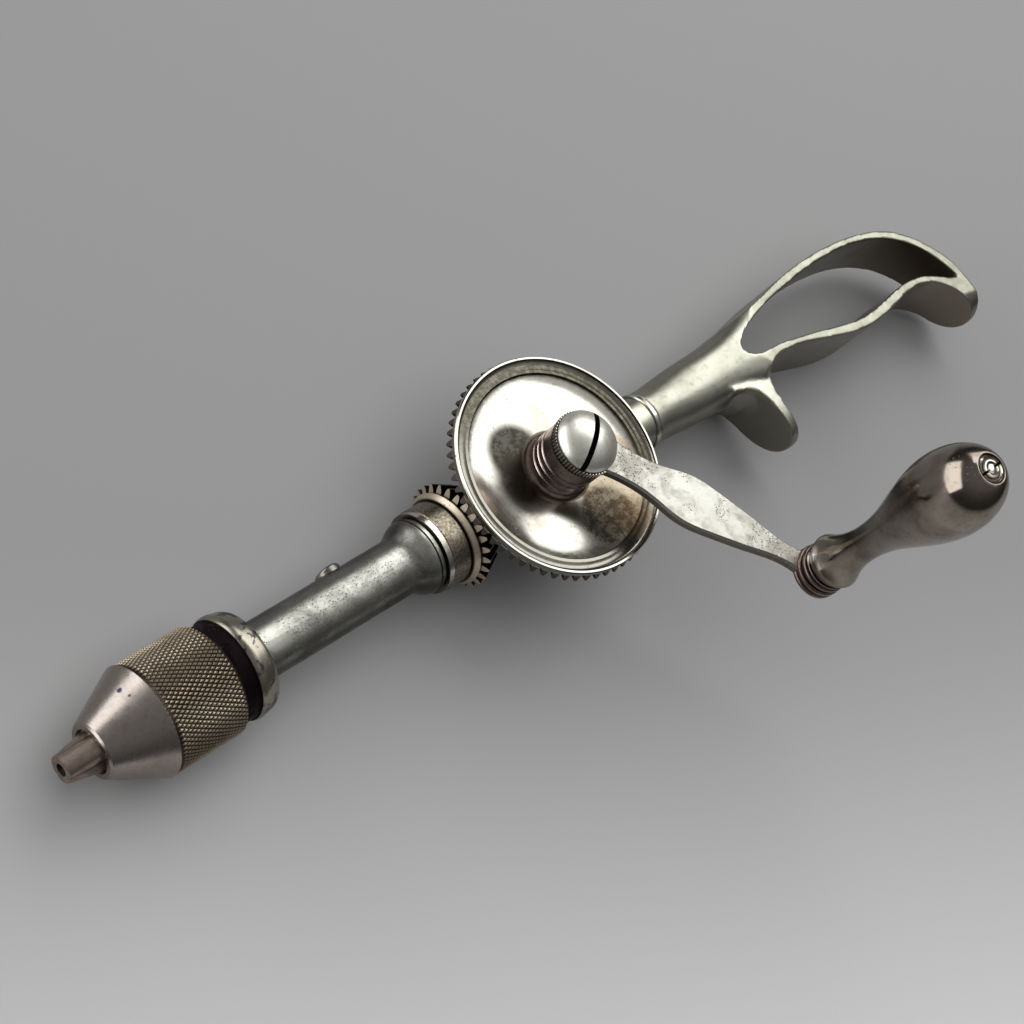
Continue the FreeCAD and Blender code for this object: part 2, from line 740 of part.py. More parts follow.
def chuck_collar():
    land = sleeve_bore_radius - running_clearance
    return turned_on_spindle(
        straight((chuck_rear, collar_bore_radius), (chuck_rear, collar_rear_radius - 0.8)),
        smooth((chuck_rear, collar_rear_radius - 0.8), (chuck_rear + 0.5, collar_rear_radius),
               (chuck_rear + 2.6, collar_radius - 0.3), (collar_front - 1.0, collar_radius),
               (collar_front, collar_radius - 0.4)),
        straight((collar_front, collar_radius - 0.4), (collar_front, land),
                 (land_end, land), (land_end, chuck_core_radius + 0.3),
                 (collar_seat_end, chuck_core_radius + 0.3), (collar_seat_end, collar_bore_radius)))


def chuck_sleeve():
    return turned_on_spindle(straight(
        (sleeve_rear, sleeve_bore_radius), (sleeve_rear, sleeve_rear_radius - 0.4),
        (sleeve_rear + 0.4, sleeve_rear_radius), (sleeve_front - 0.3, sleeve_radius),
        (sleeve_front, sleeve_radius - 0.3), (sleeve_front, sleeve_bore_radius)))


# Split nut: two half rings pressed into the sleeve, threaded onto the jaws.
def split_nut():
    ring = turned_on_spindle(straight(
        (nut_rear, jaw_reach(nut_rear) + nut_clearance), (nut_rear, sleeve_bore_radius),
        (nut_front, sleeve_bore_radius), (nut_front, jaw_reach(nut_front) + nut_clearance)))
    gap = Part.makeBox(nut_length + 2, 60, nut_split,
                       FreeCAD.Vector(nut_rear - 1, -30, -nut_split / 2))
    return ring.cut(gap)


def knob_outline():
    return smooth(
        (knob_foot + 0.4, knob_foot_radius), (knob_foot + 3.2, knob_foot_bead_radius - 0.4),
        (knob_foot + 5.6, knob_foot_bead_radius), (knob_foot + 8.0, knob_foot_bead_radius - 0.8),
        (knob_foot + 12.4, knob_waist_radius + 0.75), (knob_waist_at, knob_waist_radius),
        (knob_waist_at + 9.2, knob_waist_radius + 1.05), (knob_waist_at + 17.0, knob_waist_radius + 3.6),
        (knob_belly_at - 6.3, knob_belly_radius - 0.75), (knob_belly_at, knob_belly_radius),
        (knob_belly_at + 5.6, knob_belly_radius - 0.45), (knob_belly_at + 11.1, knob_belly_radius - 2.1),
        (knob_end - 0.3, knob_end_radius))


# Pear-shaped knob, bored for its spindle, with a shallow seat for the end screw.
def crank_knob():
    bore = knob_spindle_radius + running_clearance
    seat = knob_screw_radius + 0.3
    floor = knob_end - knob_counterbore_depth
    return turned_on_knob(
        straight((knob_foot, bore), (knob_foot, knob_foot_radius - 0.3), (knob_foot + 0.4, knob_foot_radius)),
        knob_outline(),
        straight((knob_end - 0.3, knob_end_radius), (knob_end, knob_end_radius - 0.4),
                 (knob_end, seat), (floor, seat), (floor, bore)))


def knob_spindle():
    top = knob_end - knob_counterbore_depth + axial_clearance
    post = on_knob_axis(axle_disc(arm_underside, top, knob_spindle_radius))
    hole = on_knob_axis(axle_disc(top - knob_screw_shank_length, top + 1, knob_screw_shank_radius))
    return post.cut(hole)


def knob_screw():
    seat = knob_end - knob_counterbore_depth + axial_clearance
    head = axle_disc(seat, seat + knob_screw_head, knob_screw_radius)
    rounded = [edge for edge in head.Edges if edge.CenterOfMass.z > seat + knob_screw_head - 0.1]
    head = head.makeFillet(0.5, rounded)
    shank = axle_disc(seat - knob_screw_shank_length + axial_clearance, seat + 0.1, knob_screw_shank_radius)
    slot = Part.makeBox(3 * knob_screw_radius, knob_screw_slot, 1.0,
                        FreeCAD.Vector(-1.5 * knob_screw_radius, -knob_screw_slot / 2,
                                       seat + knob_screw_head - 0.7))
    return on_knob_axis(fused(head, shank).cut(slot))


def knob_washer():
    return turned_on_knob(straight(
        (arm_top, knob_spindle_radius), (arm_top, knob_washer_radius - 0.2),
        (arm_top + 0.2, knob_washer_radius), (washer_top - 0.2, knob_washer_radius),
        (washer_top, knob_washer_radius - 0.2), (washer_top, knob_spindle_radius)))


nodes = {
    "handle_casting": handle_casting(),
    "neck_ring": neck_ring(),
    "bearing_frame": bearing_frame(),
    "tang_pin": tang_pin(),
    "axle_bush": axle_ring(-axle_boss_half_height, axle_boss_half_height, axle_bush_radius,
                           axle_radius + running_clearance),
    "axle_washer": axle_ring(axle_boss_half_height, axle_washer_top, axle_boss_radius - 0.4,
                             axle_radius + running_clearance),
    "spindle_bush": spindle_ring(frame_front - spindle_bush_length, frame_front, spindle_bush_radius,
                                 spindle_radius + running_clearance),
    "thrust_ball": Part.makeSphere(thrust_ball_radius, X * (thrust_pocket + thrust_ball_radius)),
    "pinion_washer": spindle_ring(frame_front, frame_front + pinion_washer_thickness,
                                  pinion_washer_radius, spindle_radius + running_clearance),
    "drive_gear": drive_gear(),
    "gear_hub": gear_hub(),
    "gear_axle": gear_axle(),
    "crank_arm": crank_arm(),
    "crank_screw": crank_screw(),
    "rear_washer": axle_ring(rear_screw_top, rear_washer_top, rear_washer_radius, axle_radius),
    "rear_screw": rear_screw(),
    "knob_spindle": knob_spindle(),
    "knob_washer": knob_washer(),
    "knob_screw": knob_screw(),
    "crank_knob": crank_knob(),
    "spindle_shaft": spindle_shaft(),
    "pinion_gear": pinion_gear(),
    "pinion_key": pinion_key(),
    "grip_washer": spindle_ring(grip_washer_rear, grip_washer_rear + grip_washer_thickness,
                                grip_washer_radius, spindle_radius),
    "grip_tube": grip_tube(),
    "grip_rear_bush": grip_bush(grip_rear),
    "grip_front_bush": grip_bush(grip_front - grip_bush_length),
    "grip_screw": grip_screw(),
    "chuck_washer": spindle_ring(chuck_washer_rear, chuck_rear, grip_radius, spindle_radius),
    "chuck_body": chuck_body(),
    "chuck_collar": chuck_collar(),
    "chuck_sleeve": chuck_sleeve(),
    "split_nut": split_nut(),
    "jaw_1": jaw(0),
    "jaw_2": jaw(1),
    "jaw_3": jaw(2),
}

os.makedirs("parts", exist_ok=True)
for name, shape in nodes.items():
    shape.translate(TO_SOCKET_MOUTH)
    shape.exportStep("parts/" + name + ".step")
    print(name, len(shape.Solids), "valid" if shape.isValid() else "NOT VALID", round(shape.Volume, 1))
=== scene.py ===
import bpy
import json
import math
from mathutils import Matrix, Vector

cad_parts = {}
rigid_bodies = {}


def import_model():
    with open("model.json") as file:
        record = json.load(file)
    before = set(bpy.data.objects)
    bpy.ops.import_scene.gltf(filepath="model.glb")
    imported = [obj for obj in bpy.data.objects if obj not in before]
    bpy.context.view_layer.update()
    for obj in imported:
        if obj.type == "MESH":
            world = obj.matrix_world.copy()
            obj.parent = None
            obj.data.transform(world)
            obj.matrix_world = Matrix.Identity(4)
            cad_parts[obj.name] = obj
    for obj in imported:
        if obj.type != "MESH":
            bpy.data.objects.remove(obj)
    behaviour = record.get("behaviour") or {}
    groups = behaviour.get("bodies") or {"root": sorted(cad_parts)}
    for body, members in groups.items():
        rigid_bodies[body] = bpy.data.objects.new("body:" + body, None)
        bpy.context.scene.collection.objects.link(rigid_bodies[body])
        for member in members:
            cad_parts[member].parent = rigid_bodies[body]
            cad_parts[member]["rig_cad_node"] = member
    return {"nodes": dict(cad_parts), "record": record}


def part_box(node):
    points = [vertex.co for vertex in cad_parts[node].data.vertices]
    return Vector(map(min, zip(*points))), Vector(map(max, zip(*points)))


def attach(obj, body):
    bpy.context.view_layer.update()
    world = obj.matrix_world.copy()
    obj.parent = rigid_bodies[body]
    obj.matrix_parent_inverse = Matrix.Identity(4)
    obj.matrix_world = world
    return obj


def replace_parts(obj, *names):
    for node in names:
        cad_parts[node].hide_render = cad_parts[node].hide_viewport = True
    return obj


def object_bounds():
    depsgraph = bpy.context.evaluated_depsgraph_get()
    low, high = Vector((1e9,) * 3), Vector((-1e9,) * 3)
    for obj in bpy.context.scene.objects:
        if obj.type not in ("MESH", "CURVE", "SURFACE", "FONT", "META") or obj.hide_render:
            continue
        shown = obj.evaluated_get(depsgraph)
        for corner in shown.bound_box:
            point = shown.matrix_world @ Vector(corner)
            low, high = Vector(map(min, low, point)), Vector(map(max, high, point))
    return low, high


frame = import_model()
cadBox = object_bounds()
print("frame loaded:", len(frame["nodes"]), "nodes")

mm = 0.001
perMm = 1 / mm
joints = {joint["name"]: joint for joint in frame["record"]["behaviour"]["joints"]}
crossing = Vector(joints["crank_turn"]["pos_m"])      # where the spindle axis meets the gear axle
knobAxis = Vector(joints["knob_turn"]["pos_m"])


def fromCrossing(x, y, z):
    # a place in millimetres from the crossing, given in the frame's metres
    return crossing + Vector((x, y, z)) * mm


# Small helpers for edit mode work

weldReach = 0.002 * mm


def deselectAll():
    if bpy.context.object and bpy.context.object.mode != "OBJECT":
        bpy.ops.object.mode_set(mode="OBJECT")
    bpy.ops.object.select_all(action="DESELECT")


def pick(piece):
    deselectAll()
    piece.select_set(True)
    bpy.context.view_layer.objects.active = piece


def copyOfNode(nodeName, pieceName):
    # the CAD node stays as it is; its copy is welded into one skin
    pick(frame["nodes"][nodeName])
    bpy.ops.object.duplicate()
    piece = bpy.context.object
    piece.name = pieceName
    del piece["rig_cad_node"]
    pick(piece)
    bpy.ops.object.mode_set(mode="EDIT")
    bpy.ops.mesh.select_all(action="SELECT")
    bpy.ops.mesh.remove_doubles(threshold=weldReach)
    bpy.ops.object.mode_set(mode="OBJECT")
    return piece


def applyModifier(piece, kind, **settings):
    pick(piece)
    modifier = piece.modifiers.new(kind.lower(), kind)
    for name, value in settings.items():
        setattr(modifier, name, value)
    bpy.ops.object.modifier_apply(modifier=modifier.name)


def selectVertices(piece, test):
    # picks vertices by their place and leaves the piece in edit mode
    bpy.ops.object.mode_set(mode="EDIT")
    bpy.ops.mesh.select_mode(type="VERT")
    bpy.ops.mesh.select_all(action="DESELECT")
    bpy.ops.object.mode_set(mode="OBJECT")
    for vertex in piece.data.vertices:
        vertex.select = test(vertex.co)
    bpy.ops.object.mode_set(mode="EDIT")


def settle(piece):
    # puts the place into the mesh, so the object stands at the origin
    pick(piece)
    bpy.ops.object.transform_apply(location=True, rotation=True, scale=True)
    return piece


def turnOnAxle(name, centre, profile, sides=64):
    # a turned piece on an upright axis: a ring drawn up and in through the (radius, height) points
    deselectAll()
    radius, height = profile[0]
    bpy.ops.mesh.primitive_circle_add(vertices=sides, radius=radius, fill_type="NGON",
                                      location=(centre.x, centre.y, height))
    piece = bpy.context.object
    piece.name = name
    settle(piece)
    bpy.ops.object.mode_set(mode="EDIT")
    bpy.ops.mesh.select_all(action="SELECT")
    for nextRadius, nextHeight in profile[1:]:
        middle = (centre.x, centre.y, nextHeight)
        bpy.ops.mesh.extrude_region_move(TRANSFORM_OT_translate={"value": (0, 0, nextHeight - height)})
        grow = nextRadius / radius
        bpy.ops.transform.resize(value=(grow, grow, 1), center_override=middle)
        radius, height = nextRadius, nextHeight
    bpy.ops.mesh.select_all(action="SELECT")
    bpy.ops.mesh.normals_make_consistent(inside=False)
    bpy.ops.object.mode_set(mode="OBJECT")
    return piece


# Shader helpers

def addNode(tree, kind, inputs=None, **settings):
    made = tree.nodes.new(kind)
    for name, value in settings.items():
        setattr(made, name, value)
    for name, value in (inputs or {}).items():
        if isinstance(value, bpy.types.NodeSocket):
            tree.links.new(value, made.inputs[name])
        else:
            made.inputs[name].default_value = value
    return made


def mathNode(tree, operation, first, second=0.0, clamp=False):
    made = addNode(tree, "ShaderNodeMath", {0: first, 1: second}, operation=operation, use_clamp=clamp)
    return made.outputs[0]


def smoothNode(tree, value, low, high):
    made = addNode(tree, "ShaderNodeMapRange", {"Value": value, "From Min": low, "From Max": high},
                   interpolation_type="SMOOTHSTEP")
    return made.outputs["Result"]


def mixColour(tree, factor, first, second):
    made = addNode(tree, "ShaderNodeMix", {0: factor, 6: first, 7: second}, data_type="RGBA")
    return made.outputs[2]


def newGroup(name, inputs, outputs):
    group = bpy.data.node_groups.new(name, "ShaderNodeTree")
    for socketName, kind, default in inputs:
        socket = group.interface.new_socket(socketName, in_out="INPUT", socket_type=kind)
        socket.default_value = default
    for socketName in outputs:
        group.interface.new_socket(socketName, in_out="OUTPUT", socket_type="NodeSocketFloat")
    return group, addNode(group, "NodeGroupInput"), addNode(group, "NodeGroupOutput")


def times(tree, first, second):
    return mathNode(tree, "MULTIPLY", first, second)


def plus(tree, first, second):
    return mathNode(tree, "ADD", first, second)


def oneLess(tree, value):
    return mathNode(tree, "SUBTRACT", 1.0, value)


# Wear fields: node groups that every metal uses with its own values

pitRim = 0.05          # over what share of a cell a pit's edge fades
patchRim = 0.12        # over what span of the noise a patch of pits fades
grimeFineness = 9.0    # how much finer the grime is than the clouds
noiseMiddle = 0.5
smearsPerMm = 0.16


def makePitGroup():
    # round pits of mixed size, gathered in patches
    group, given, out = newGroup("pitField", [
        ("Place", "NodeSocketVector", (0, 0, 0)), ("Pits per mm", "NodeSocketFloat", 1.0),
        ("Pit size", "NodeSocketFloat", 0.3), ("Patch mm", "NodeSocketFloat", 6.0),
        ("Coverage", "NodeSocketFloat", 0.5)], ["Mask"])
    cells = addNode(group, "ShaderNodeTexVoronoi", {
        "Vector": given.outputs["Place"], "Scale": times(group, given.outputs["Pits per mm"], perMm),
        "Randomness": 1.0})
    ownSize = addNode(group, "ShaderNodeSeparateColor", {0: cells.outputs["Color"]}).outputs["Red"]
    size = times(group, given.outputs["Pit size"], ownSize)
    dent = smoothNode(group, mathNode(group, "SUBTRACT", size, cells.outputs["Distance"]), -pitRim, pitRim)
    patches = addNode(group, "ShaderNodeTexNoise", {
        "Vector": given.outputs["Place"],
        "Scale": mathNode(group, "DIVIDE", perMm, given.outputs["Patch mm"]),
        "Detail": 3.0, "Roughness": 0.6})
    threshold = oneLess(group, given.outputs["Coverage"])
    inPatch = smoothNode(group, patches.outputs[0], threshold, plus(group, threshold, patchRim))
    group.links.new(times(group, dent, inPatch), out.inputs["Mask"])
    return group


def makeTarnishGroup():
    # clouds of tarnish, and the fine grime that lies over them
    group, given, out = newGroup("tarnishField", [
        ("Place", "NodeSocketVector", (0, 0, 0)), ("Cloud mm", "NodeSocketFloat", 12.0),
        ("Amount", "NodeSocketFloat", 0.5), ("Softness", "NodeSocketFloat", 0.2)], ["Mask", "Grime"])
    cloudScale = mathNode(group, "DIVIDE", perMm, given.outputs["Cloud mm"])
    clouds = addNode(group, "ShaderNodeTexNoise", {
        "Vector": given.outputs["Place"], "Scale": cloudScale, "Detail": 6.0, "Roughness": 0.62,
        "Distortion": 0.4})
    threshold = oneLess(group, given.outputs["Amount"])
    cover = smoothNode(group, clouds.outputs[0],
                       mathNode(group, "SUBTRACT", threshold, given.outputs["Softness"]),
                       plus(group, threshold, given.outputs["Softness"]))
    grime = addNode(group, "ShaderNodeTexNoise", {
        "Vector": given.outputs["Place"], "Scale": times(group, cloudScale, grimeFineness),
        "Detail": 4.0, "Roughness": 0.7})
    group.links.new(cover, out.inputs["Mask"])
    group.links.new(grime.outputs[0], out.inputs["Grime"])
    return group


def makePolishGroup():
    # fine lines left by turning or polishing, and the broad smears of a cloth
    group, given, out = newGroup("polishLines", [
        ("Place", "NodeSocketVector", (0, 0, 0)), ("Lines per mm", "NodeSocketVector", (1, 1, 1))],
        ["Lines", "Smears"])
    perMetre = addNode(group, "ShaderNodeVectorMath", {
        0: given.outputs["Lines per mm"], 1: (perMm,) * 3}, operation="MULTIPLY")
    stretched = addNode(group, "ShaderNodeVectorMath", {
        0: given.outputs["Place"], 1: perMetre.outputs[0]}, operation="MULTIPLY")
    lines = addNode(group, "ShaderNodeTexNoise", {
        "Vector": stretched.outputs[0], "Scale": 1.0, "Detail": 3.0, "Roughness": 0.65})
    smears = addNode(group, "ShaderNodeTexNoise", {
        "Vector": given.outputs["Place"], "Scale": smearsPerMm * perMm, "Detail": 4.0, "Roughness": 0.6})
    group.links.new(lines.outputs[0], out.inputs["Lines"])
    group.links.new(smears.outputs[0], out.inputs["Smears"])
    return group


def makeBandGroup():
    # one where a value lies between two others, with soft sides
    group, given, out = newGroup("bandMask", [
        ("Value", "NodeSocketFloat", 0.0), ("Low", "NodeSocketFloat", 0.0),
        ("High", "NodeSocketFloat", 1.0), ("Soft", "NodeSocketFloat", 0.1)], ["Mask"])
    value, low, high, soft = (given.outputs[name] for name in ("Value", "Low", "High", "Soft"))
    rise = smoothNode(group, value, mathNode(group, "SUBTRACT", low, soft), plus(group, low, soft))
    fall = smoothNode(group, value, mathNode(group, "SUBTRACT", high, soft), plus(group, high, soft))
    group.links.new(mathNode(group, "SUBTRACT", rise, fall), out.inputs["Mask"])
    return group


pitField = makePitGroup()
tarnishField = makeTarnishGroup()
polishLines = makePolishGroup()
bandMask = makeBandGroup()


def useGroup(tree, group, **inputs):
    made = tree.nodes.new("ShaderNodeGroup")
    made.node_tree = group
    for name, value in inputs.items():
        socket = made.inputs[name.replace("_", " ")]
        if isinstance(value, bpy.types.NodeSocket):
            tree.links.new(value, socket)
        else:
            socket.default_value = value
    return made


unbounded = 1e3       # millimetres, past every end of the drill
zoneSoftness = 0.1    # of a zone that gives none


def zoneMask(tree, millimetres, normal, zone):
    # a zone is a band along or round an axis, across a slot, a round spot, or what faces a way
    kind = zone["kind"]
    low = zone.get("low", -unbounded)
    high = zone.get("high", unbounded)
    if kind == "along":
        value = addNode(tree, "ShaderNodeSeparateXYZ", {0: millimetres}).outputs[zone["axis"]]
    elif kind in ("round", "outward"):
        flat = {"X": (0, 1, 1), "Z": (1, 1, 0)}[zone["axis"]]
        flattened = addNode(tree, "ShaderNodeVectorMath", {0: millimetres, 1: flat}, operation="MULTIPLY")
        if kind == "round":
            value = addNode(tree, "ShaderNodeVectorMath", {0: flattened.outputs[0]},
                            operation="LENGTH").outputs["Value"]
        else:
            away = addNode(tree, "ShaderNodeVectorMath", {0: flattened.outputs[0]}, operation="NORMALIZE")
            value = addNode(tree, "ShaderNodeVectorMath", {0: away.outputs[0], 1: normal},
                            operation="DOT_PRODUCT").outputs["Value"]
    elif kind == "facing":
        value = addNode(tree, "ShaderNodeSeparateXYZ", {0: normal}).outputs[zone["axis"]]
    elif kind == "across":
        value = addNode(tree, "ShaderNodeVectorMath", {
            0: millimetres, 1: zone["normal"]}, operation="DOT_PRODUCT").outputs["Value"]
    else:
        value = addNode(tree, "ShaderNodeVectorMath", {
            0: millimetres, 1: zone["centre"]}, operation="DISTANCE").outputs["Value"]
        high = zone["radius"]
    soft = zone.get("soft", zoneSoftness)
    mask = useGroup(tree, bandMask, Value=value, Low=low, High=high, Soft=soft).outputs["Mask"]
    if "within" in zone:
        mask = times(tree, mask, zoneMask(tree, millimetres, normal, zone["within"]))
    return mask


# what all metals share: the noise limits of grime and mottle, and how much pits and grime change
wear = {"grimeLimits": (0.5, 0.75), "grime": 0.3, "mottleLimits": (0.40, 0.56), "pitRoughness": 0.3,
        "pitDullness": 0.5, "pitHeight": -1.0, "grain": 0.25, "bumpDistance": 0.05 * mm}


def wornMetal(name, look):
    # one plated or bare metal: colour, tarnish clouds, pits, polish lines, the painted shade of faces that
    # don't look up, and the zones that differ, among them painted shade, painted reflections and a painted
    # highlight
    material = bpy.data.materials.new(name)
    material.use_nodes = True
    tree = material.node_tree
    shader = tree.nodes["Principled BSDF"]
    coordinates = addNode(tree, "ShaderNodeTexCoord")
    place = coordinates.outputs["Object"]
    normal = coordinates.outputs["Normal"]
    moved = addNode(tree, "ShaderNodeVectorMath", {0: place, 1: tuple(look["centre"])}, operation="SUBTRACT")
    millimetres = addNode(tree, "ShaderNodeVectorMath", {
        0: moved.outputs[0], 1: (perMm,) * 3}, operation="MULTIPLY").outputs[0]

    coverage = look["pitCover"]
    amount = look["tarnish"]
    for zone in look["patches"]:
        mask = zoneMask(tree, millimetres, normal, zone)
        coverage = plus(tree, coverage, times(tree, mask, zone["pits"]))
        amount = plus(tree, amount, times(tree, mask, zone["tarnish"]))
    tarnish = useGroup(tree, tarnishField, Place=place, Cloud_mm=look["cloud"], Amount=amount,
                       Softness=look["softness"])
    clouds = tarnish.outputs["Mask"]
    grime = tarnish.outputs["Grime"]
    pits = useGroup(tree, pitField, Place=place, Pits_per_mm=look["pits"], Pit_size=look["pitSize"],
                    Patch_mm=look["patch"], Coverage=coverage).outputs["Mask"]
    polish = useGroup(tree, polishLines, Place=place, Lines_per_mm=look["lines"])
    lines = polish.outputs["Lines"]

    plate, stain, dirt = ((*look[layer], 1) for layer in ("colour", "stain", "dirt"))
    colour = mixColour(tree, times(tree, clouds, look["stainStrength"]), plate, stain)
    dirty = times(tree, smoothNode(tree, grime, *wear["grimeLimits"]), wear["grime"])
    colour = mixColour(tree, dirty, colour, dirt)
    rough = plus(tree, look["roughness"], times(tree, clouds, look["tarnishRoughness"]))
    if "paintedShadeColour" in look:
        # painted shade: faces that look sideways or down get a darker colour than those that look up
        upward = addNode(tree, "ShaderNodeSeparateXYZ", {0: normal}).outputs["Z"]
        shade = oneLess(tree, smoothNode(tree, upward, *look["paintedShadeFacing"]))
        colour = mixColour(tree, times(tree, shade, look["paintedShadeStrength"]), colour, (*look["paintedShadeColour"], 1))
    for zone in look["zones"]:
        mask = times(tree, zoneMask(tree, millimetres, normal, zone), zone.get("strength", 1.0))
        if "mottle" in zone:
            gaps = oneLess(tree, smoothNode(tree, grime, *wear["mottleLimits"]))
            mask = times(tree, mask, oneLess(tree, times(tree, gaps, zone["mottle"])))
        colour = mixColour(tree, mask, colour, (*zone["colour"], 1))
        rough = plus(tree, rough, times(tree, mask, zone.get("roughness", 0.0)))
    colour = mixColour(tree, times(tree, pits, look["pitDark"]), colour, dirt)
    smeared = times(tree, mathNode(tree, "SUBTRACT", polish.outputs["Smears"], noiseMiddle), look["smear"])
    lined = times(tree, mathNode(tree, "SUBTRACT", lines, noiseMiddle), look["lineRoughness"])
    rough = plus(tree, rough, times(tree, pits, wear["pitRoughness"]))
    rough = mathNode(tree, "ADD", rough, plus(tree, smeared, lined), clamp=True)
    metallic = oneLess(tree, times(tree, pits, wear["pitDullness"]))
    height = plus(tree, times(tree, pits, wear["pitHeight"]), times(tree, lines, look["lineDepth"]))
    height = plus(tree, height, times(tree, grime, wear["grain"]))
    bump = addNode(tree, "ShaderNodeBump", {
        "Strength": look["bump"], "Distance": wear["bumpDistance"], "Height": height})
    tree.links.new(colour, shader.inputs["Base Color"])
    tree.links.new(rough, shader.inputs["Roughness"])
    tree.links.new(metallic, shader.inputs["Metallic"])
    tree.links.new(bump.outputs["Normal"], shader.inputs["Normal"])
    return material


# The metals. Places are in millimetres from the look's centre, the crossing unless it says otherwise

black = (0.008, 0.007, 0.006)
# a brown for painted shade in creases, grooves and bores
paintedShadeBrown = (0.10, 0.075, 0.055)
slotAngle = math.radians(40)

# what a metal has unless it says otherwise
nickel = {
    "centre": crossing, "colour": (0.60, 0.585, 0.52), "stain": (0.27, 0.22, 0.15),
    "dirt": (0.05, 0.04, 0.03), "stainStrength": 0.85, "softness": 0.16, "tarnishRoughness": 0.16,
    "patch": 7.0, "pitDark": 0.8, "paintedShadeFacing": (0.15, 0.65), "paintedShadeStrength": 0.85, "smear": 0.2,
    "lineRoughness": 0.12, "lineDepth": 0.3, "bump": 0.2, "patches": [], "zones": []}

dishSpot = {"kind": "spot", "soft": 1.6}
dishTop = {"kind": "along", "axis": "Z", "low": 14.0, "soft": 0.2}
pinionHub = {"kind": "along", "axis": "X", "low": 33.3, "high": 41, "soft": 0.15}
noseSpots = [((129.5, -11.2, 7.0), 0.45), ((129.3, -9.3, 9.6), 0.6), ((132.8, -7.5, 9.0), 0.75),
             ((132.3, -5.3, 10.8), 0.5)]

